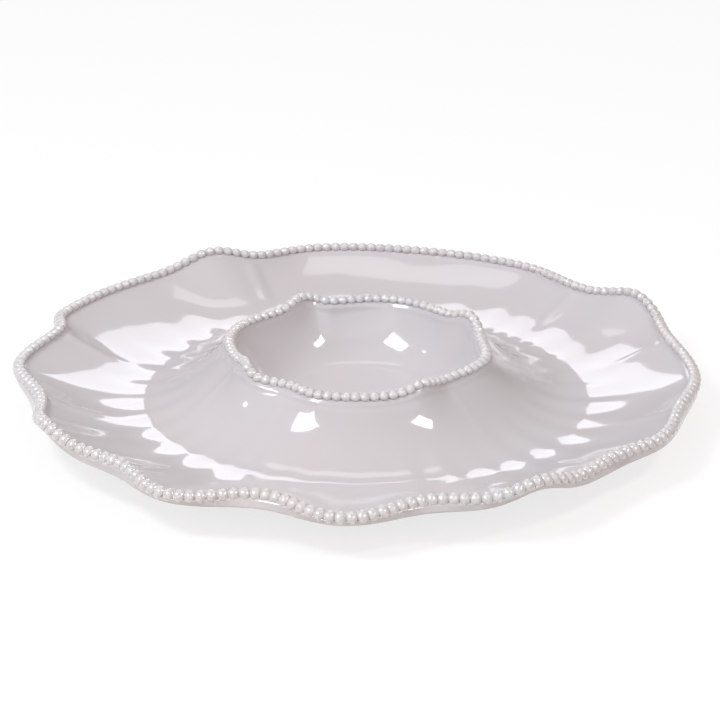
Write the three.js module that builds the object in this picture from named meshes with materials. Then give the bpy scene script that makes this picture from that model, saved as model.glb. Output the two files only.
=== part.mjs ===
// Chip and dip platter: a ruffled, beaded platter with a raised dip bowl in its middle.
// Millimetres, +Z up. The origin lies on the platter's axis, at the level of the table.
import * as THREE from 'three';

// Outer rim, measured to the centre line of its beads, angles in degrees
const rimRadius = 183;
const rimHeight = 24.5;
const rimLipWidth = 5.2;
const rimLobeDepth = 5.0;
const rimLobeDroop = 0.65;
const rimCornerLift = 7.5;
const rimCornerSpread = 6.3;

// Rim of the dip bowl, measured the same way
const bowlRadius = 69.5;
const bowlHeight = 36.6;
const bowlLipWidth = 4.8;
const bowlLipDepth = 6.0;
const bowlLobeDepth = 2.0;
const bowlCornerLift = 3.8;
const bowlCornerSpread = 8.5;

// Raised corners, which both rims share
const cornerCount = 4;
const cornerAngle = 29;

// Lobes and notches of each rim, anticlockwise from the right: the angle of each, and how many lobe
// depths it lies outside the rim's middle line, or inside it where the number is below 0
const rimWaves = [
  [13, -0.5], [25, 0.5], [42, -1.75], [58, 0], [75, 0], [97, 1], [112, -1], [126, 0],
  [155, 1], [163, -1], [178, 1], [194, -1.25], [209, 1], [226, -1], [239, 1.25], [254, -1.75],
  [268, 1.5], [282, -1.25], [297, 1], [318, -0.75], [330, 0.5], [342, -0.25], [355, 0.5],
];
const bowlWaves = [
  [6, -0.5], [27, 1], [43, -0.75], [72, 0.75], [103, -1.25], [112, 1], [129, -1.75], [163, 1.25],
  [202, -1], [217, 0.75], [236, -1.75], [254, 1], [271, 1], [293, 1], [315, -1.5], [345, 1],
];

// Walls and floors
const wall = 4.0;
const footHeight = 3.0;
const footRadius = 117;
const footWidth = 6.0;
const wellFloorWidth = 9.0;
const cupFloorRadius = 38;

// How far up their walls the rim and the bowl's skirt leave the chip well, as shares of those walls
const rimSeamShare = 0.35;
const skirtSeamShare = 0.36;

// How the walls curve: an exponent over 1 is a hollow curve
const flareBend = 1.6;
const skirtBend = 2.4;
const skirtStraightShare = 0.35;
const cupBend = 2.2;
const ruffleFade = 1.5;

// How much of the rim's lobes its underside still follows at the lip
const underLobeShare = 0.6;

// Beads
const rimBeadPitch = 5.5;
const rimBeadWidth = 6.6;
const bowlBeadPitch = 4.95;
const bowlBeadWidth = 5.6;
const beadHeight = 2.6;
const beadSeat = 1.2;
const beadNeckShare = 0.7;
const seatGap = 0.3;

// Fineness of the facets
const stepsPerCorner = 24;
const wallSteps = 4;
const wellSteps = 2;
const footSteps = 48;
const beadArcAngles = [20, 90, 160];
const slopeStep = 0.01;

// Sizes that follow from the ones above
const ringSteps = cornerCount * stepsPerCorner;
const stepAngle = 360 / ringSteps;
const floorHeight = footHeight + wall;
const wellOuterRadius = footRadius + wellFloorWidth / 2;
const wellInnerRadius = footRadius - wellFloorWidth / 2;
const rimLipTop = rimHeight - beadSeat - seatGap;
const bowlLipTop = bowlHeight - beadSeat - seatGap;

const radians = THREE.MathUtils.degToRad;

// Degrees from an angle to the nearest corner
function degreesToCorner(angle) {
  const spacing = 360 / cornerCount;
  const turns = (angle - cornerAngle) / spacing;
  return (turns - Math.round(turns)) * spacing;
}

// Rims as ruffled bead lines. The bowl's lobes are level, and the rim's droop as they reach out
const outerRim = {
  waves: rimWaves,
  lobeDepth: rimLobeDepth,
  lobeDroop: rimLobeDroop,
  cornerLift: rimCornerLift,
  cornerSpread: rimCornerSpread,
};

const bowlRim = {
  waves: bowlWaves,
  lobeDepth: bowlLobeDepth,
  lobeDroop: 0,
  cornerLift: bowlCornerLift,
  cornerSpread: bowlCornerSpread,
};

// How many lobe depths a rim reaches out at an angle, along a half cosine from one lobe or notch to the next
function lobeReach(waves, angle) {
  const [[firstAngle, firstReach]] = waves;
  const turned = firstAngle + THREE.MathUtils.euclideanModulo(angle - firstAngle, 360);
  const place = waves.findLastIndex(([waveAngle]) => waveAngle <= turned);
  const [from, fromReach] = waves[place];
  const [to, toReach] = waves[place + 1] ?? [firstAngle + 360, firstReach];
  const share = (1 - Math.cos((Math.PI * (turned - from)) / (to - from))) / 2;
  return THREE.MathUtils.lerp(fromReach, toReach, share);
}

// A rim's ruffle at an angle in degrees: how far out its lobes reach, how far they droop there,
// and how far the corner lifts it
function ruffle(rim, angle) {
  const offset = degreesToCorner(angle);
  const lobe = lobeReach(rim.waves, angle);
  return {
    reach: rim.lobeDepth * lobe,
    droop: rim.lobeDroop * lobe,
    lift: rim.cornerLift * Math.exp(-((offset / rim.cornerSpread) ** 2)),
  };
}

// The same ruffle along the straight facets of the lip, which the beads follow
function facetRuffle(rim, angle) {
  const facet = Math.floor((angle - cornerAngle) / stepAngle);
  const from = cornerAngle + facet * stepAngle;
  const share = (angle - from) / stepAngle;
  const near = ruffle(rim, from);
  const far = ruffle(rim, from + stepAngle);
  return {
    reach: THREE.MathUtils.lerp(near.reach, far.reach, share),
    droop: THREE.MathUtils.lerp(near.droop, far.droop, share),
    lift: THREE.MathUtils.lerp(near.lift, far.lift, share),
  };
}

// A wall's upper face runs from a floor edge to a lip edge, at shares 0 to 1 of the way
function makeWall(floorRadius, lipRadius, lipTop, risingShare, lowerLobeShare = () => 1) {
  const run = lipRadius - floorRadius;
  const rise = lipTop - floorHeight;
  const heightAt = (share) => floorHeight + rise * risingShare(share);
  const thicknessAt = (share) => {
    if (share === 0) return wall;
    const from = share - slopeStep;
    const slope = (heightAt(share) - heightAt(from)) / (slopeStep * run);
    return wall * Math.hypot(1, slope);
  };
  const pointAt = (share, height, lobeShare) => ({
    radius: floorRadius + run * share,
    height,
    lifted: share ** ruffleFade,
    lobed: lobeShare * share ** ruffleFade,
  });
  return {
    upper: (share) => pointAt(share, heightAt(share), 1),
    lower: (share) => pointAt(share, heightAt(share) - thicknessAt(share), lowerLobeShare(share)),
  };
}

const flareRise = (share) => share ** flareBend;
const flareUnderLobes = (share) => (
  THREE.MathUtils.mapLinear(Math.max(share, rimSeamShare), rimSeamShare, 1, 1, underLobeShare)
);
const skirtRise = (share) => skirtStraightShare * share + (1 - skirtStraightShare) * share ** skirtBend;
const cupRise = (share) => share ** cupBend;
const flare = makeWall(wellOuterRadius, rimRadius - rimLipWidth / 2, rimLipTop, flareRise, flareUnderLobes);
const skirt = makeWall(wellInnerRadius, bowlRadius + bowlLipWidth / 2, bowlLipTop, skirtRise);
const cup = makeWall(cupFloorRadius, bowlRadius - bowlLipWidth / 2, bowlLipTop, cupRise);

// Evenly spaced shares from one to another, both ends included
function spread(from, to, steps) {
  return Array.from({ length: steps + 1 }, (_, index) => from + ((to - from) * index) / steps);
}

// A section's outline along a stretch of wall: its upper face there and its lower face back again
function wallOutline(curve, from, to, steps = wallSteps) {
  const shares = spread(from, to, steps);
  return {
    upper: shares.map(curve.upper),
    lower: shares.map(curve.lower).reverse(),
  };
}

// A closed body from rings of points, each ring a closed outline, the last ring joined to the first
function ringBody(rings) {
  const sides = rings[0].length;
  const positions = rings.flat().flatMap((point) => point.toArray());
  const triangles = [];
  rings.forEach((_, ring) => {
    const next = (ring + 1) % rings.length;
    for (let side = 0; side < sides; side += 1) {
      const other = (side + 1) % sides;
      const near = ring * sides;
      const far = next * sides;
      triangles.push(near + side, far + side, far + other);
      triangles.push(near + side, far + other, near + other);
    }
  });
  return indexedBody(positions, triangles);
}

// A closed body from rings whose outlines start on the axis above and end on the axis below
function cappedBody(rings, topCentre, bottomCentre) {
  const sides = rings[0].length;
  const positions = [...rings.flat(), topCentre, bottomCentre].flatMap((point) => point.toArray());
  const top = rings.length * sides;
  const bottom = top + 1;
  const triangles = [];
  rings.forEach((_, ring) => {
    const near = ring * sides;
    const far = ((ring + 1) % rings.length) * sides;
    triangles.push(top, near, far);
    for (let side = 0; side + 1 < sides; side += 1) {
      triangles.push(near + side, near + side + 1, far + side + 1);
      triangles.push(near + side, far + side + 1, far + side);
    }
    triangles.push(bottom, far + sides - 1, near + sides - 1);
  });
  return indexedBody(positions, triangles);
}

function indexedBody(positions, triangles) {
  const body = new THREE.BufferGeometry();
  body.setAttribute('position', new THREE.Float32BufferAttribute(positions, 3));
  body.setIndex(triangles);
  body.computeVertexNormals();
  return body;
}

// Point at an angle in degrees, a distance from the axis and a height
function polar(angle, radius, height) {
  return new THREE.Vector3(radius * Math.cos(radians(angle)), radius * Math.sin(radians(angle)), height);
}

// Rings of a section's outline, ruffled with a rim, all the way round
function ruffledRings(outline, rim) {
  return spread(0, 360, ringSteps).slice(0, -1).map((turn) => {
    const angle = cornerAngle + turn;
    const { reach, droop, lift } = ruffle(rim, angle);
    return outline.map(({ radius, height, lifted, lobed }) => (
      polar(angle, radius + reach * lobed, height + lift * lifted - droop * lobed)
    ));
  });
}

// A point of a lip, which moves with its rim's ruffle
const lipPoint = (radius, height, lobed = 1) => ({ radius, height, lifted: 1, lobed });

// Flared outer rim, with a flat lip that carries the beads
function makeFlaredRim() {
  const { upper, lower } = wallOutline(flare, rimSeamShare, 1);
  const lipEdge = rimRadius + rimLipWidth / 2;
  const lip = [lipPoint(lipEdge, rimLipTop), lipPoint(lipEdge, rimLipTop - wall, underLobeShare)];
  return ringBody(ruffledRings([...upper, ...lip, ...lower].reverse(), outerRim));
}

// Rings of the chip well: its outer part follows the rim's ruffle, its inner part the bowl's
function makeChipWell() {
  const outer = wallOutline(flare, 0, rimSeamShare, wellSteps);
  const inner = wallOutline(skirt, skirtSeamShare, 0, wellSteps);
  const innerRings = ruffledRings([...inner.lower, ...inner.upper], bowlRim);
  const outerRings = ruffledRings([...outer.upper, ...outer.lower], outerRim);
  return ringBody(innerRings.map((ring, index) => [...ring, ...outerRings[index]].reverse()));
}

// Trumpet-shaped skirt that carries the bowl's rim over the chip well
function makeBowlSkirt() {
  const { upper, lower } = wallOutline(skirt, 1, skirtSeamShare);
  const lip = [lipPoint(bowlRadius, bowlLipTop - bowlLipDepth), lipPoint(bowlRadius, bowlLipTop)];
  return ringBody(ruffledRings([...lip, ...upper, ...lower].reverse(), bowlRim));
}

// Wall of the dip cup, from the edge of its floor to the middle of the bowl's lip
function makeCupWall() {
  const { upper, lower } = wallOutline(cup, 0, 1);
  const lip = [lipPoint(bowlRadius, bowlLipTop), lipPoint(bowlRadius, bowlLipTop - bowlLipDepth)];
  return ringBody(ruffledRings([...upper, ...lip, ...lower].reverse(), bowlRim));
}

// Level floor of the dip cup
function makeCupFloor() {
  const rings = ruffledRings([cup.upper(0), cup.lower(0)], bowlRim);
  return cappedBody(rings, polar(0, 0, floorHeight), polar(0, 0, footHeight));
}

// Ring under the chip well on which the platter stands
function makeFootRing() {
  const inner = footRadius - footWidth / 2;
  const outer = footRadius + footWidth / 2;
  const corners = [[inner, 0], [outer, 0], [outer, footHeight], [inner, footHeight], [inner, 0]];
  const outline = corners.map(([radius, height]) => new THREE.Vector2(radius, height));
  return new THREE.LatheGeometry(outline, footSteps).rotateX(Math.PI / 2);
}

// Length of a rim's bead line, all the way round
function beadLineLength(rim, radius, height) {
  const points = spread(0, 360, ringSteps).map((turn) => {
    const { reach, droop, lift } = ruffle(rim, cornerAngle + turn);
    return polar(turn, radius + reach, height + lift - droop);
  });
  return points.slice(1).reduce((sum, point, index) => sum + point.distanceTo(points[index]), 0);
}

// String of beads with a flat underside
function makeBeading({ rim, radius, height, pitch, width }) {
  const beadCount = Math.round(beadLineLength(rim, radius, height) / pitch);
  const section = (share) => [
    [-width * share / 2, -beadSeat],
    [width * share / 2, -beadSeat],
    ...beadArcAngles.map((arc) => [
      (width * share / 2) * Math.cos(radians(arc)),
      beadHeight * share * Math.sin(radians(arc)),
    ]),
  ];
  const rings = spread(0, 360, 2 * beadCount).slice(0, -1).map((turn, index) => {
    const angle = cornerAngle + turn;
    const { reach, droop, lift } = facetRuffle(rim, angle);
    const share = index % 2 === 0 ? 1 : beadNeckShare;
    return section(share).map(([out, up]) => (
      polar(angle, radius + reach + out, height + lift - droop + up)
    ));
  });
  return ringBody(rings);
}

const platter = new THREE.Group();

function addPiece(name, geometry, color, roughness) {
  const material = new THREE.MeshStandardMaterial({ color, roughness, metalness: 0 });
  const piece = new THREE.Mesh(geometry, material);
  piece.name = name;
  platter.add(piece);
}

addPiece('flared_rim', makeFlaredRim(), 0xd3cfd2, 0.1);
addPiece('chip_well', makeChipWell(), 0xd2ced1, 0.1);
addPiece('bowl_skirt', makeBowlSkirt(), 0xd2ced1, 0.1);
addPiece('cup_wall', makeCupWall(), 0xd0cccf, 0.1);
addPiece('cup_floor', makeCupFloor(), 0xd0cccf, 0.1);
addPiece('foot_ring', makeFootRing(), 0xcdc9ca, 0.3);
addPiece('rim_beading', makeBeading({
  rim: outerRim,
  radius: rimRadius,
  height: rimHeight,
  pitch: rimBeadPitch,
  width: rimBeadWidth,
}), 0xdad7d8, 0.12);
addPiece('bowl_beading', makeBeading({
  rim: bowlRim,
  radius: bowlRadius,
  height: bowlHeight,
  pitch: bowlBeadPitch,
  width: bowlBeadWidth,
}), 0xdad7d8, 0.12);

export default platter;
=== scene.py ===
"""Chip and dip platter: pearl-white, ruffled and beaded, with a raised dip bowl in its middle."""

import math

import bpy
import numpy as np
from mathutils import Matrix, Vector


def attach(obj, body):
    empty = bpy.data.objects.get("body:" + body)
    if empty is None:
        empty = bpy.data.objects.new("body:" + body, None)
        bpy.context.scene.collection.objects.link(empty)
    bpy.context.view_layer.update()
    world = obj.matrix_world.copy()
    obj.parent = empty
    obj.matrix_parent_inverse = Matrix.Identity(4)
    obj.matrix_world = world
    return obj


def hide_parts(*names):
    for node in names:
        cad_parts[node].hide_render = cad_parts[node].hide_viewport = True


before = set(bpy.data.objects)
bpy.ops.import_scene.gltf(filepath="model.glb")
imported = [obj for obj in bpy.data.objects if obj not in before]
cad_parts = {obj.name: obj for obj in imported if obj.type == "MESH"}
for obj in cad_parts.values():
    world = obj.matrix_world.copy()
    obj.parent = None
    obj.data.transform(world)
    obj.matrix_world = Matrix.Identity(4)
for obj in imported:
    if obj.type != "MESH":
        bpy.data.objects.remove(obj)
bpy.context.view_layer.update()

MM = 0.001

# Outer rim, measured to the centre line of its beads, in millimetres and degrees
RIM_RADIUS = 183.0
RIM_HEIGHT = 24.5
RIM_LIP_WIDTH = 5.2

# Rim of the dip bowl, measured the same way
BOWL_RADIUS = 69.5
BOWL_HEIGHT = 36.6
BOWL_LIP_WIDTH = 4.8
BOWL_LIP_DEPTH = 6.0

# Raised corners, which both rims share
CORNER_COUNT = 4
CORNER_ANGLE = 29.0

# Lobes and notches of each rim, anticlockwise from the right: the angle of each, and how many lobe
# depths it lies outside the rim's middle line, or inside it where the number is below 0
RIM_WAVES = (
    (13, -0.5), (25, 0.5), (42, -1.75), (58, 0), (75, 0), (97, 1), (112, -1), (126, 0),
    (155, 1), (163, -1), (178, 1), (194, -1.25), (209, 1), (226, -1), (239, 1.25), (254, -1.75),
    (268, 1.5), (282, -1.25), (297, 1), (318, -0.75), (330, 0.5), (342, -0.25), (355, 0.5),
)
BOWL_WAVES = (
    (6, -0.5), (27, 1), (43, -0.75), (72, 0.75), (103, -1.25), (112, 1), (129, -1.75), (163, 1.25),
    (202, -1), (217, 0.75), (236, -1.75), (254, 1), (271, 1), (293, 1), (315, -1.5), (345, 1),
)

# Ruffles: lobes that droop as they reach out, and a lift at each corner
OUTER_RIM = {
    "waves": RIM_WAVES,
    "lobe_depth": 5.0,
    "lobe_droop": 0.65,
    "corner_lift": 7.5,
    "corner_spread": 6.3,
}
BOWL_RIM = {
    "waves": BOWL_WAVES,
    "lobe_depth": 2.0,
    "lobe_droop": 0.0,
    "corner_lift": 3.8,
    "corner_spread": 8.5,
}

# Walls and floors
WALL = 4.0
FOOT_HEIGHT = 3.0
FOOT_RADIUS = 117.0
FOOT_WIDTH = 6.0
FOOT_ROUNDING = 1.2
FOOT_ROOT = 0.6
WELL_RADIUS = 121.0
WELL_FLOOR_WIDTH = 7.0
CUP_FLOOR_RADIUS = 38.0
FLOOR_HEIGHT = FOOT_HEIGHT + WALL
WELL_OUTER_RADIUS = WELL_RADIUS + WELL_FLOOR_WIDTH / 2
WELL_INNER_RADIUS = WELL_RADIUS - WELL_FLOOR_WIDTH / 2
RIM_SEAM_SHARE = 0.35
SKIRT_SEAM_SHARE = 0.36
FLARE_BEND = 1.75
SKIRT_BEND = 2.1
SKIRT_STRAIGHT_SHARE = 0.15
CUP_BEND = 2.2
RIM_RUFFLE_FADE = 1.3
BOWL_RUFFLE_FADE = 5.0
UNDER_LOBE_SHARE = 0.6
WELL_ROUNDING = 2.0
WELL_ROUNDING_REACH = 30.0
WELL_ROUNDING_FADE = 15.0

# Beads and the lips that carry them
BEAD_SEAT = 1.5
RIM_LIP_TOP = RIM_HEIGHT - BEAD_SEAT
BOWL_LIP_TOP = BOWL_HEIGHT - BEAD_SEAT
RIM_BEADS = {"pitch": 5.5, "across": 7.6, "tall": 5.4, "tilt": 33.0, "inward": 0.7, "down": 0.5}
BOWL_BEADS = {"pitch": 4.95, "across": 6.4, "tall": 4.8, "tilt": 8.0, "inward": 0.0, "down": 0.0}
BEAD_OVERLAP = 1.2
LIP_ROUNDING = 1.1
BOWL_LIP_CROWN = 0.3
RIM_LIP_ROLL = 0.12
BOWL_LIP_ROLL = 0.4
LIP_ROLL_DROP = 2.2
LIP_ROLL_WIDTH = 1.1

# Shallow flutes that run across the well, in two spacings: how many go round, and how deep they are
FLUTES = ((36, 0.15), (25, 0.06))
FLUTE_RADII = (86.0, 104.0, 132.0, 166.0)

# Creases from a rim's notches towards the well: height, width in degrees, and where they fade in and out
RIM_CREASES = {"height": 1.0, "width": 1.4, "radii": (132.0, 160.0, 173.0, 180.0)}
BOWL_CREASES = {"height": 0.3, "width": 2.0, "radii": (73.0, 77.0, 84.0, 104.0)}

# Fineness of the meshes
RING_STEPS = 576
BEAD_SIDES = 16
BEAD_RINGS = 10
FIRST_RING = 1.0
LIP_CLOSENESS = 1.25


def lobe_reach(waves, angle):
    """Lobe depths that a rim reaches out at angles in degrees, along half cosines from wave to wave."""
    first_angle, first_reach = waves[0]
    turning_points = np.array([*waves, (first_angle + 360, first_reach)], dtype=float)
    turned = first_angle + (angle - first_angle) % 360.0
    place = np.searchsorted(turning_points[:, 0], turned, side="right") - 1
    start = turning_points[place]
    end = turning_points[place + 1]
    share = (1 - np.cos(math.pi * (turned - start[:, 0]) / (end[:, 0] - start[:, 0]))) / 2
    return start[:, 1] + share * (end[:, 1] - start[:, 1])


def ruffle(rim, angle):
    """Reach of a rim's lobes, their droop and the corners' lift, at angles in degrees."""
    lobe = lobe_reach(rim["waves"], angle)
    turns = (angle - CORNER_ANGLE) * CORNER_COUNT / 360.0
    offset = (turns - np.round(turns)) * 360.0 / CORNER_COUNT
    lift = rim["corner_lift"] * np.exp(-(offset / rim["corner_spread"]) ** 2)
    return rim["lobe_depth"] * lobe, rim["lobe_droop"] * lobe, lift


def notch_ridges(rim, angle, width):
    """1 at a rim's deep notches, less at its shallow ones, and falling to 0 within a width of degrees."""
    ridges = np.zeros_like(angle)
    for notch, reach in rim["waves"]:
        away = (angle - notch + 180.0) % 360.0 - 180.0
        ridges += np.clip(-reach, 0.0, 1.0) * np.exp(-(away / width) ** 2)
    return ridges


OUTER, BOWL = 0, 1


def section(radius, height, rim, lifted, lobed):
    """Rows of a section: radius, height, shares of the outer rim's lift and lobes, and of the bowl's."""
    rows = np.zeros((len(radius), 6))
    rows[:, 0] = radius
    rows[:, 1] = height
    rows[:, 2 + 2 * rim] = lifted
    rows[:, 3 + 2 * rim] = lobed
    return rows


class Wall:
    """A wall that rises from a floor edge to a lip edge, at shares 0 to 1 of the way."""

    def __init__(self, floor_radius, lip_radius, lip_top, rise, rim, under_lobes=None):
        self.floor_radius = floor_radius
        self.run = lip_radius - floor_radius
        self.rise = lambda share: FLOOR_HEIGHT + (lip_top - FLOOR_HEIGHT) * rise(np.abs(share))
        self.rim = rim
        self.under_lobes = under_lobes or np.ones_like

    def slope(self, share):
        step = 0.005
        return (self.rise(share) - self.rise(share - step)) / (step * self.run)

    def points(self, shares, height, lobes):
        """Section rows along the wall, at heights and with a share of the rim's lobes."""
        fade = shares ** (BOWL_RUFFLE_FADE if self.rim == BOWL else RIM_RUFFLE_FADE)
        return section(self.floor_radius + self.run * shares, height, self.rim, fade, fade * lobes)

    def upper(self, shares):
        """The upper face, with a small roll in it just below the lip."""
        rows = self.points(shares, self.rise(shares), 1.0)
        slope = self.slope(shares)
        length = np.hypot(1.0, slope)
        drop = (1.0 - shares) * abs(self.run) * length
        roll = BOWL_LIP_ROLL if self.rim == BOWL else RIM_LIP_ROLL
        roll = roll * np.exp(-((drop - LIP_ROLL_DROP) / LIP_ROLL_WIDTH) ** 2)
        rows[:, 0] -= roll * slope / length
        rows[:, 1] += roll / length
        return rows

    def lower(self, shares):
        thickness = WALL * np.hypot(1.0, self.slope(shares))
        height = self.rise(shares) - np.where(shares > 0, thickness, WALL)
        return self.points(shares, height, self.under_lobes(shares))


def flare_rise(share):
    return share ** FLARE_BEND


def skirt_rise(share):
    return SKIRT_STRAIGHT_SHARE * share + (1 - SKIRT_STRAIGHT_SHARE) * share ** SKIRT_BEND


def cup_rise(share):
    return share ** CUP_BEND


def flare_under_lobes(share):
    """Share of the rim's lobes on the flare's underside, where they are shallower towards the lip."""
    return np.interp(share, (RIM_SEAM_SHARE, 1.0), (1.0, UNDER_LOBE_SHARE))


FLARE = Wall(WELL_OUTER_RADIUS, RIM_RADIUS - RIM_LIP_WIDTH / 2, RIM_LIP_TOP, flare_rise, OUTER,
             flare_under_lobes)
SKIRT = Wall(WELL_INNER_RADIUS, BOWL_RADIUS + BOWL_LIP_WIDTH / 2, BOWL_LIP_TOP, skirt_rise, BOWL)
CUP = Wall(CUP_FLOOR_RADIUS, BOWL_RADIUS - BOWL_LIP_WIDTH / 2, BOWL_LIP_TOP, cup_rise, BOWL)


def shares_between(first, last, steps):
    """Shares from first up to, but not including, last, closer together towards a lip at 1."""
    even = np.linspace(first, last, steps, endpoint=False)
    return 1.0 - (1.0 - even) ** LIP_CLOSENESS


def floor_rows(first, last, height, steps):
    return section(np.linspace(first, last, steps, endpoint=False), height, OUTER, 0.0, 0.0)


def lip_rows(points, rim, lobed=1.0):
    """Rows of a lip, which moves with its rim's ruffle."""
    points = np.asarray(points, dtype=float)
    return section(points[:, 0], points[:, 1], rim, 1.0, lobed)


def arc(centre_radius, centre_height, radius, first, last, steps):
    """Points of a round edge in a section, angles in degrees from outward to upward."""
    angles = np.radians(np.linspace(first, last, steps))
    return np.stack([centre_radius + radius * np.cos(angles), centre_height + radius * np.sin(angles)], 1)


def section_rows():
    """The whole section from the middle of the cup's floor, over both lips, to the middle underneath.

    Returns the rows and the row at which each named stretch starts.
    """
    rim_seam = 1.0 - (1.0 - RIM_SEAM_SHARE) ** (1 / LIP_CLOSENESS)
    skirt_seam = 1.0 - (1.0 - SKIRT_SEAM_SHARE) ** (1 / LIP_CLOSENESS)
    half_bowl_lip = BOWL_LIP_WIDTH / 2
    rim_edge = RIM_RADIUS + RIM_LIP_WIDTH / 2
    round_edge = LIP_ROUNDING
    rim_bottom = RIM_LIP_TOP - WALL
    bowl_land = np.linspace(-half_bowl_lip, half_bowl_lip, 11)
    bowl_crown = BOWL_LIP_CROWN * (1 - (bowl_land / half_bowl_lip) ** 2)
    bowl_lip = np.stack([BOWL_RADIUS + bowl_land, BOWL_LIP_TOP + bowl_crown], 1)
    rim_land = np.linspace(RIM_RADIUS - RIM_LIP_WIDTH / 2, rim_edge - round_edge, 6)
    rim_lip = np.concatenate([
        np.stack([rim_land, np.full(6, RIM_LIP_TOP)], 1),
        arc(rim_edge - round_edge, RIM_LIP_TOP - round_edge, round_edge, 75, 0, 6),
        arc(rim_edge - round_edge, rim_bottom + round_edge, round_edge, 0, -90, 7),
    ])
    edge_lobes = np.interp(rim_lip[:, 1], (rim_bottom, RIM_LIP_TOP), (UNDER_LOBE_SHARE, 1.0))
    stretches = [
        ("cup_floor", floor_rows(FIRST_RING, CUP_FLOOR_RADIUS, FLOOR_HEIGHT, 8)),
        ("cup_wall", CUP.upper(shares_between(0.0, 1.0, 40))),
        ("bowl_lip_inner", lip_rows(bowl_lip[:5], BOWL)),
        ("bowl_lip_outer", lip_rows(bowl_lip[5:], BOWL)),
        ("skirt_upper", SKIRT.upper(shares_between(1.0, skirt_seam, 34)[1:])),
        ("skirt_lower", SKIRT.upper(shares_between(skirt_seam, 0.0, 16))),
        ("well_floor", floor_rows(WELL_INNER_RADIUS, WELL_OUTER_RADIUS, FLOOR_HEIGHT, 10)),
        ("flare_lower", FLARE.upper(shares_between(0.0, rim_seam, 16))),
        ("flare_upper", FLARE.upper(shares_between(rim_seam, 1.0, 44))),
        ("rim_lip", lip_rows(rim_lip, OUTER, edge_lobes)),
        ("flare_upper_under", FLARE.lower(shares_between(1.0, rim_seam, 22))),
        ("flare_lower_under", FLARE.lower(shares_between(rim_seam, 0.0, 8))),
        ("well_floor_under", floor_rows(WELL_OUTER_RADIUS, WELL_INNER_RADIUS, FOOT_HEIGHT, 4)),
        ("skirt_lower_under", SKIRT.lower(shares_between(0.0, skirt_seam, 8))),
        ("skirt_upper_under", SKIRT.lower(shares_between(skirt_seam, 1.0, 16))),
        ("bowl_lip_under", lip_rows([[BOWL_RADIUS, BOWL_LIP_TOP - BOWL_LIP_DEPTH]], BOWL)),
        ("cup_wall_under", CUP.lower(shares_between(1.0, 0.0, 20))),
        ("cup_floor_under", floor_rows(CUP_FLOOR_RADIUS, FIRST_RING, FOOT_HEIGHT, 6)),
    ]
    starts = {}
    count = 0
    for name, rows in stretches:
        starts[name] = count
        count += len(rows)
    starts["end"] = count
    return np.concatenate([rows for _, rows in stretches]), starts


def round_the_well(rows, starts):
    """Rounds the bends where the well's floor meets the two walls, on its upper face."""
    span = slice(starts["skirt_upper"], starts["rim_lip"])
    radius = rows[span, 0].copy()
    height = rows[span, 1].copy()
    offsets = np.linspace(-3, 3, 13) * WELL_ROUNDING
    weights = np.exp(-(offsets / WELL_ROUNDING) ** 2 / 2)
    away = np.abs(radius - WELL_RADIUS)
    near_floor = np.clip((WELL_ROUNDING_REACH - away) / WELL_ROUNDING_FADE, 0.0, 1.0)
    smooth = np.zeros_like(height)
    for offset, weight in zip(offsets, weights):
        smooth += weight * np.interp(radius + offset, radius, height)
    rows[span, 1] = height + near_floor * (smooth / weights.sum() - height)


def between_radii(radius, radii):
    """1 between the second and third of four radii, and fading to 0 at the first and last."""
    share = np.interp(radius, radii, (0.0, 1.0, 1.0, 0.0))
    return share * share * (3 - 2 * share)


def shell_grid():
    """Points and outward normals of the whole moulding: one row for each point of its section."""
    rows, starts = section_rows()
    round_the_well(rows, starts)
    angle = np.arange(RING_STEPS) * 360.0 / RING_STEPS
    radius = rows[:, [0]]
    height = rows[:, [1]]
    for index, rim in ((OUTER, OUTER_RIM), (BOWL, BOWL_RIM)):
        reach, droop, lift = ruffle(rim, angle)
        lifted = rows[:, [2 + 2 * index]]
        lobed = rows[:, [3 + 2 * index]]
        radius = radius + lobed * reach
        height = height + lifted * lift - lobed * droop
    above = np.arange(len(rows)) < starts["rim_lip"]
    fluted = between_radii(rows[:, 0], FLUTE_RADII) * above
    flutes = sum(depth * np.cos(np.radians(count * (angle - CORNER_ANGLE))) for count, depth in FLUTES)
    height = height - np.outer(fluted, flutes)
    for rim, creases in ((OUTER_RIM, RIM_CREASES), (BOWL_RIM, BOWL_CREASES)):
        creased = between_radii(rows[:, 0], creases["radii"]) * above
        height = height + creases["height"] * np.outer(creased, notch_ridges(rim, angle, creases["width"]))
    turn = np.radians(angle)
    points = np.stack([radius * np.cos(turn), radius * np.sin(turn), height], 2) * MM
    along = np.gradient(points, axis=0)
    around = np.roll(points, -1, axis=1) - np.roll(points, 1, axis=1)
    normals = np.cross(along, around)
    normals /= np.linalg.norm(normals, axis=2, keepdims=True)
    return points, normals, starts


def add_mesh(name, points, faces, normals=None):
    mesh = bpy.data.meshes.new(name)
    mesh.from_pydata(points.tolist(), [], faces)
    mesh.polygons.foreach_set("use_smooth", np.ones(len(mesh.polygons), dtype=bool))
    mesh.update()
    if normals is not None:
        mesh.normals_split_custom_set_from_vertices(normals.tolist())
    piece = bpy.data.objects.new(name, mesh)
    bpy.context.scene.collection.objects.link(piece)
    return piece


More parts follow.
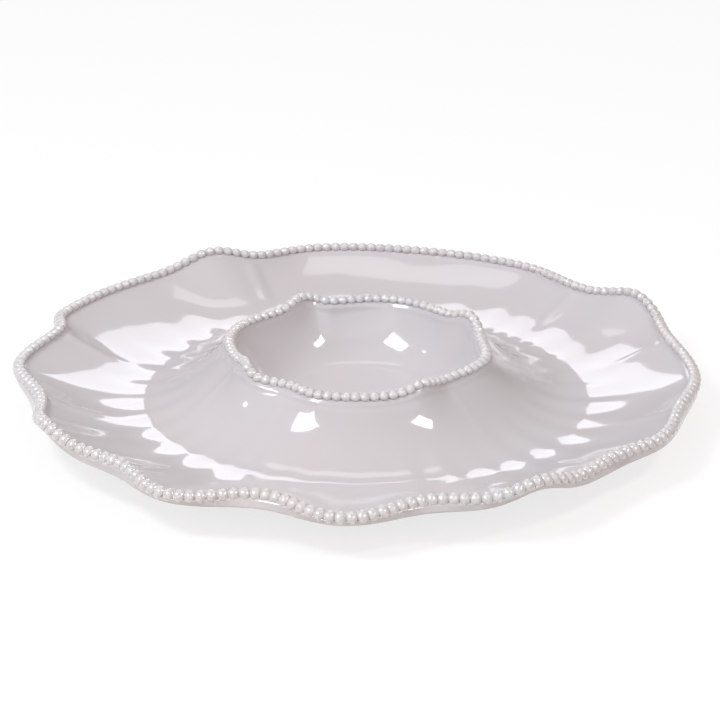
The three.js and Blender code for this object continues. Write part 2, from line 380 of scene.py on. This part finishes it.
def shell_piece(name, grid, rows, centres=()):
    """A closed body from rows of the moulding, joined end to end or closed by centre points on its axis."""
    points, normals, _ = grid
    ring = np.arange(RING_STEPS)
    after = (ring + 1) % RING_STEPS
    faces = []
    last = len(rows) - 1 if centres else len(rows)
    for row in range(last):
        near = row * RING_STEPS
        far = ((row + 1) % len(rows)) * RING_STEPS
        faces += np.stack([near + ring, far + ring, far + after, near + after], 1).tolist()
    body_points = points[rows].reshape(-1, 3)
    body_normals = normals[rows].reshape(-1, 3)
    if centres:
        top = np.full(RING_STEPS, len(body_points))
        bottom_ring = last * RING_STEPS
        faces += np.stack([top, ring, after], 1).tolist()
        faces += np.stack([top + 1, bottom_ring + after, bottom_ring + ring], 1).tolist()
        body_points = np.concatenate([body_points, np.array(centres) * MM])
        body_normals = np.concatenate([body_normals, [[0, 0, 1], [0, 0, -1]]])
    return add_mesh(name, body_points, faces, body_normals)


def bead_line(rim, radius, height):
    """Closed line along which a rim's beads lie, in metres."""
    angle = np.linspace(0.0, 360.0, 3601)
    reach, droop, lift = ruffle(rim, CORNER_ANGLE + angle)
    turn = np.radians(CORNER_ANGLE + angle)
    out = radius + reach
    return np.stack([out * np.cos(turn), out * np.sin(turn), height + lift - droop], 1) * MM


def bead_shape():
    """Points and faces of a ball of radius 1, with its poles above and below."""
    points = [(0.0, 0.0, 1.0)]
    for ring in range(1, BEAD_RINGS):
        polar = math.pi * ring / BEAD_RINGS
        reach = math.sin(polar)
        for side in range(BEAD_SIDES):
            turn = 2 * math.pi * side / BEAD_SIDES
            points.append((reach * math.cos(turn), reach * math.sin(turn), math.cos(polar)))
    points.append((0.0, 0.0, -1.0))
    faces = []
    last = len(points) - 1
    for side in range(BEAD_SIDES):
        after = (side + 1) % BEAD_SIDES
        faces.append((0, 1 + side, 1 + after))
        for ring in range(BEAD_RINGS - 2):
            near = 1 + ring * BEAD_SIDES
            far = near + BEAD_SIDES
            faces.append((near + side, far + side, far + after, near + after))
        bottom = last - BEAD_SIDES
        faces.append((last, bottom + after, bottom + side))
    return np.array(points), faces


def bead_string(name, rim, radius, height, beads):
    """Beads set side by side along a rim, each longer across the lip than along it and leaning outward."""
    line = bead_line(rim, radius - beads["inward"], height - beads["down"])
    tilt = math.radians(beads["tilt"])
    steps = np.linalg.norm(np.diff(line, axis=0), axis=1)
    travelled = np.concatenate([[0.0], np.cumsum(steps)])
    length = travelled[-1]
    count = round(length / MM / beads["pitch"])
    ball, ball_faces = bead_shape()
    half = np.array([beads["across"], length / MM / count * BEAD_OVERLAP, beads["tall"]]) / 2 * MM
    points = []
    faces = []
    for index in range(count):
        place = length * index / count
        here = np.array([np.interp(place, travelled, line[:, axis]) for axis in range(3)])
        ahead = np.array([np.interp((place + MM) % length, travelled, line[:, axis]) for axis in range(3)])
        along = (ahead - here) / np.linalg.norm(ahead - here)
        outward = np.cross(along, [0.0, 0.0, 1.0])
        outward /= np.linalg.norm(outward)
        upward = np.cross(outward, along)
        lengthwise = outward * math.cos(tilt) - upward * math.sin(tilt)
        axes = np.stack([lengthwise, along, outward * math.sin(tilt) + upward * math.cos(tilt)])
        first = index * len(ball)
        points.append(here + (ball * half) @ axes)
        faces += [tuple(first + corner for corner in face) for face in ball_faces]
    return add_mesh(name, np.concatenate(points), faces)


def foot_ring_piece(name):
    """The standing ring, rooted in the well's underside, with rounded lower edges."""
    half = FOOT_WIDTH / 2
    outline = np.concatenate([
        [[FOOT_RADIUS + half, FOOT_HEIGHT + FOOT_ROOT]],
        arc(FOOT_RADIUS + half - FOOT_ROUNDING, FOOT_ROUNDING, FOOT_ROUNDING, 0, -90, 6),
        arc(FOOT_RADIUS - half + FOOT_ROUNDING, FOOT_ROUNDING, FOOT_ROUNDING, -90, -180, 6),
        [[FOOT_RADIUS - half, FOOT_HEIGHT + FOOT_ROOT]],
    ])
    sides = len(outline)
    turn = np.radians(np.arange(RING_STEPS) * 360.0 / RING_STEPS)
    points = np.stack([
        np.outer(np.cos(turn), outline[:, 0]),
        np.outer(np.sin(turn), outline[:, 0]),
        np.tile(outline[:, 1], (RING_STEPS, 1)),
    ], 2).reshape(-1, 3) * MM
    faces = []
    for step in range(RING_STEPS):
        near = step * sides
        far = ((step + 1) % RING_STEPS) * sides
        for side in range(sides):
            other = (side + 1) % sides
            faces.append((near + side, near + other, far + other, far + side))
    return add_mesh(name, points, faces)


def add_node(tree, kind, **values):
    node = tree.nodes.new(kind)
    for name, value in values.items():
        if name in node.inputs:
            node.inputs[name].default_value = value
        else:
            setattr(node, name, value)
    return node


# Tints of the pearl finish, from rosy over plain to cool, the beads' tints lighter with painted light
# against their shade, and how deep light reaches into the beads
SHELL_TINTS = ((0.707, 0.673, 0.696), (0.698, 0.673, 0.7), (0.69, 0.679, 0.705))
# Painted light: the beads' tints are lighter than the shell's, to lift the shade the beads cast on one
# another
BEAD_TINTS_WITH_PAINTED_LIGHT = ((0.785, 0.755, 0.765), (0.775, 0.755, 0.77), (0.765, 0.76, 0.78))
FOOT_TINTS = ((0.68, 0.63, 0.64), (0.66, 0.63, 0.65), (0.65, 0.64, 0.66))
BEAD_GLOW_DEPTH = 2.0


def pearl_material(name, tints, roughness, coat, coat_ior=1.5, translucence=0.0):
    """Glossy pearl finish: a tint that drifts over it, fine specks in the gloss and a slight waviness."""
    rosy, plain, cool = tints
    material = bpy.data.materials.new(name)
    material.use_nodes = True
    tree = material.node_tree
    shader = tree.nodes["Principled BSDF"]
    shader.inputs["IOR"].default_value = 1.55
    shader.inputs["Coat Weight"].default_value = coat
    shader.inputs["Coat Roughness"].default_value = 0.02
    shader.inputs["Coat IOR"].default_value = coat_ior
    shader.inputs["Subsurface Weight"].default_value = translucence
    shader.inputs["Subsurface Radius"].default_value = (1.0, 1.0, 1.0)
    shader.inputs["Subsurface Scale"].default_value = BEAD_GLOW_DEPTH * MM
    place = add_node(tree, "ShaderNodeTexCoord")

    drift = add_node(tree, "ShaderNodeTexNoise", **{"Scale": 14.0, "Detail": 2.0})
    tint = add_node(tree, "ShaderNodeValToRGB")
    tint.color_ramp.elements[0].position = 0.35
    tint.color_ramp.elements[0].color = (*rosy, 1.0)
    tint.color_ramp.elements[1].position = 0.65
    tint.color_ramp.elements[1].color = (*cool, 1.0)
    middle = tint.color_ramp.elements.new(0.5)
    middle.color = (*plain, 1.0)
    tree.links.new(place.outputs["Object"], drift.inputs["Vector"])
    tree.links.new(drift.outputs["Fac"], tint.inputs["Fac"])
    tree.links.new(tint.outputs["Color"], shader.inputs["Base Color"])

    specks = add_node(tree, "ShaderNodeTexNoise", **{"Scale": 900.0, "Detail": 1.0})
    gloss = add_node(tree, "ShaderNodeMapRange", **{"To Min": roughness, "To Max": roughness + 0.05})
    tree.links.new(place.outputs["Object"], specks.inputs["Vector"])
    tree.links.new(specks.outputs["Fac"], gloss.inputs["Value"])
    tree.links.new(gloss.outputs["Result"], shader.inputs["Roughness"])

    waves = add_node(tree, "ShaderNodeTexNoise", **{"Scale": 30.0, "Detail": 1.0})
    bump = add_node(tree, "ShaderNodeBump", **{"Strength": 0.09, "Distance": 0.004})
    tree.links.new(place.outputs["Object"], waves.inputs["Vector"])
    tree.links.new(waves.outputs["Fac"], bump.inputs["Height"])
    tree.links.new(bump.outputs["Normal"], shader.inputs["Normal"])
    tree.links.new(bump.outputs["Normal"], shader.inputs["Coat Normal"])
    return material


# Camera at the photograph's angle, in the photograph's frame of 720 by 720 pixels
FRAME_PIXELS = 720
ELEVATION = math.radians(22.85)
CAMERA_DISTANCE = 1.665
PIXELS_PER_METRE = 332.3 / (RIM_RADIUS * MM)
RIM_CENTRE_PIXEL = (357.9, 365.4)


def add_camera():
    forward = Vector((0.0, math.cos(ELEVATION), -math.sin(ELEVATION)))
    right = Vector((1.0, 0.0, 0.0))
    up = right.cross(forward)
    middle = FRAME_PIXELS / 2
    aim = Vector((0.0, 0.0, RIM_HEIGHT * MM))
    aim += right * ((middle - RIM_CENTRE_PIXEL[0]) / PIXELS_PER_METRE)
    aim -= up * ((middle - RIM_CENTRE_PIXEL[1]) / PIXELS_PER_METRE)
    data = bpy.data.cameras.new("camera")
    data.lens = PIXELS_PER_METRE * CAMERA_DISTANCE / FRAME_PIXELS * data.sensor_width
    camera = bpy.data.objects.new("camera", data)
    camera.location = aim - forward * CAMERA_DISTANCE
    camera.rotation_euler = forward.to_track_quat("-Z", "Y").to_euler()
    bpy.context.scene.collection.objects.link(camera)
    bpy.context.scene.camera = camera


def direction(azimuth, elevation):
    """Direction from the platter, in degrees: azimuth from straight behind it towards the right."""
    turn = math.radians(azimuth)
    rise = math.radians(elevation)
    across = math.cos(rise)
    return Vector((across * math.sin(turn), across * math.cos(turn), math.sin(rise)))


def add_panel(name, azimuth, elevation, distance, spread, radiance, colour=(1.0, 1.0, 1.0)):
    """A soft, even lamp that faces the platter and fills a spread of degrees, wide and tall."""
    size = [2 * distance * math.tan(math.radians(angle / 2)) for angle in spread]
    data = bpy.data.lights.new(name, "AREA")
    data.shape = "RECTANGLE"
    data.size, data.size_y = size
    data.energy = radiance * math.pi * size[0] * size[1]
    data.color = colour
    lamp = bpy.data.objects.new(name, data)
    towards = direction(azimuth, elevation)
    lamp.location = towards * distance
    lamp.rotation_euler = (-towards).to_track_quat("-Z", "Y").to_euler()
    lamp.visible_camera = False
    bpy.context.scene.collection.objects.link(lamp)


def add_floor():
    """A pale floor that is white in the picture and still takes the platter's shadow."""
    half = 3.0
    points = np.array([(-half, -half, 0.0), (half, -half, 0.0), (half, half, 0.0), (-half, half, 0.0)])
    floor = add_mesh("floor", points, [(0, 1, 2, 3)])
    material = bpy.data.materials.new("pale_floor")
    material.use_nodes = True
    tree = material.node_tree
    tree.nodes.clear()
    output = add_node(tree, "ShaderNodeOutputMaterial")
    path = add_node(tree, "ShaderNodeLightPath")
    mirrored = add_node(tree, "ShaderNodeMath", operation="MAXIMUM")
    seen = add_node(tree, "ShaderNodeMath", operation="MAXIMUM")
    plain = add_node(tree, "ShaderNodeBsdfDiffuse", Color=(0.72, 0.675, 0.61, 1.0))
    shadowed = add_node(tree, "ShaderNodeBsdfDiffuse", Color=(0.3, 0.3, 0.3, 1.0))
    glow = add_node(tree, "ShaderNodeEmission", Color=(1.0, 1.0, 1.0, 1.0), Strength=0.75)
    white = add_node(tree, "ShaderNodeAddShader")
    mix = add_node(tree, "ShaderNodeMixShader")
    tree.links.new(path.outputs["Is Glossy Ray"], mirrored.inputs[0])
    tree.links.new(path.outputs["Is Transmission Ray"], mirrored.inputs[1])
    tree.links.new(path.outputs["Is Camera Ray"], seen.inputs[0])
    tree.links.new(mirrored.outputs[0], seen.inputs[1])
    tree.links.new(shadowed.outputs[0], white.inputs[0])
    tree.links.new(glow.outputs[0], white.inputs[1])
    tree.links.new(seen.outputs[0], mix.inputs[0])
    tree.links.new(plain.outputs[0], mix.inputs[1])
    tree.links.new(white.outputs[0], mix.inputs[2])
    tree.links.new(mix.outputs[0], output.inputs["Surface"])
    floor.data.materials.append(material)


def add_world():
    """A soft grey room, a little darker and warmer towards the right."""
    world = bpy.data.worlds.new("studio")
    world.use_nodes = True
    tree = world.node_tree
    place = add_node(tree, "ShaderNodeTexCoord")
    across = add_node(tree, "ShaderNodeSeparateXYZ")
    room = add_node(tree, "ShaderNodeValToRGB")
    room.color_ramp.elements[0].position = 0.2
    room.color_ramp.elements[0].color = (0.97, 0.96, 1.0, 1.0)
    room.color_ramp.elements[1].position = 0.9
    room.color_ramp.elements[1].color = (0.62, 0.53, 0.49, 1.0)
    half = add_node(tree, "ShaderNodeMapRange", **{"From Min": -1.0, "From Max": 1.0})
    background = tree.nodes["Background"]
    background.inputs["Strength"].default_value = 0.46
    tree.links.new(place.outputs["Generated"], across.inputs["Vector"])
    tree.links.new(across.outputs["X"], half.inputs["Value"])
    tree.links.new(half.outputs["Result"], room.inputs["Fac"])
    tree.links.new(room.outputs["Color"], background.inputs["Color"])
    bpy.context.scene.world = world


def add_lights():
    add_panel("back_panel", -2.0, 30.5, 2.0, (15.0, 19.0), 1.95, (0.91, 0.94, 1.0))
    add_panel("ceiling_panel", -4.0, 58.0, 2.0, (22.0, 9.0), 1.2)
    add_panel("front_fill", 180.0, 38.0, 2.5, (70.0, 30.0), 0.5)
    add_panel("left_softbox", -118.0, 55.0, 1.5, (19.0, 13.0), 17.0)
    add_panel("right_softbox", 121.0, 52.0, 1.5, (16.0, 8.0), 16.0, (1.0, 0.93, 0.89))
    add_panel("small_softbox", -83.0, 40.0, 1.5, (2.5, 2.5), 12.0)


def dress(piece, node, material):
    piece.data.materials.append(material)
    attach(piece, "root")
    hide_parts(node)


def build_platter():
    shell = pearl_material("pearl_shell", SHELL_TINTS, 0.06, 0.6)
    # The beads' material carries painted light: tints lighter than the shell's, against the shade among the
    # beads
    bead = pearl_material("pearl_bead", BEAD_TINTS_WITH_PAINTED_LIGHT, 0.02, 1.0, coat_ior=1.9, translucence=0.7)
    foot = pearl_material("pearl_foot", FOOT_TINTS, 0.2, 0.3)
    grid = shell_grid()
    at = grid[2]

    def between(first, last):
        return list(range(at[first], at[last] + 1))

    flared_rim = shell_piece("flared_rim_shell", grid, between("flare_upper", "flare_lower_under"))
    chip_well = shell_piece("chip_well_shell", grid, between("skirt_lower", "flare_upper")
                            + between("flare_lower_under", "skirt_upper_under"))
    bowl_skirt = shell_piece("bowl_skirt_shell", grid, between("bowl_lip_outer", "skirt_lower")
                             + between("skirt_upper_under", "bowl_lip_under"))
    cup_wall = shell_piece("cup_wall_shell", grid, between("cup_wall", "bowl_lip_outer")
                           + between("bowl_lip_under", "cup_floor_under"))
    cup_floor = shell_piece("cup_floor_shell", grid, between("cup_floor", "cup_wall")
                            + list(range(at["cup_floor_under"], at["end"])),
                            centres=[(0.0, 0.0, FLOOR_HEIGHT), (0.0, 0.0, FOOT_HEIGHT)])
    dress(flared_rim, "flared_rim", shell)
    dress(chip_well, "chip_well", shell)
    dress(bowl_skirt, "bowl_skirt", shell)
    dress(cup_wall, "cup_wall", shell)
    dress(cup_floor, "cup_floor", shell)
    dress(foot_ring_piece("foot_ring_turned"), "foot_ring", foot)
    rim_beads = bead_string("rim_beads", OUTER_RIM, RIM_RADIUS, RIM_HEIGHT, RIM_BEADS)
    bowl_beads = bead_string("bowl_beads", BOWL_RIM, BOWL_RADIUS, BOWL_HEIGHT, BOWL_BEADS)
    dress(rim_beads, "rim_beading", bead)
    dress(bowl_beads, "bowl_beading", bead)


bpy.context.scene.view_settings.view_transform = "Standard"
add_camera()
build_platter()
add_floor()
add_world()
add_lights()
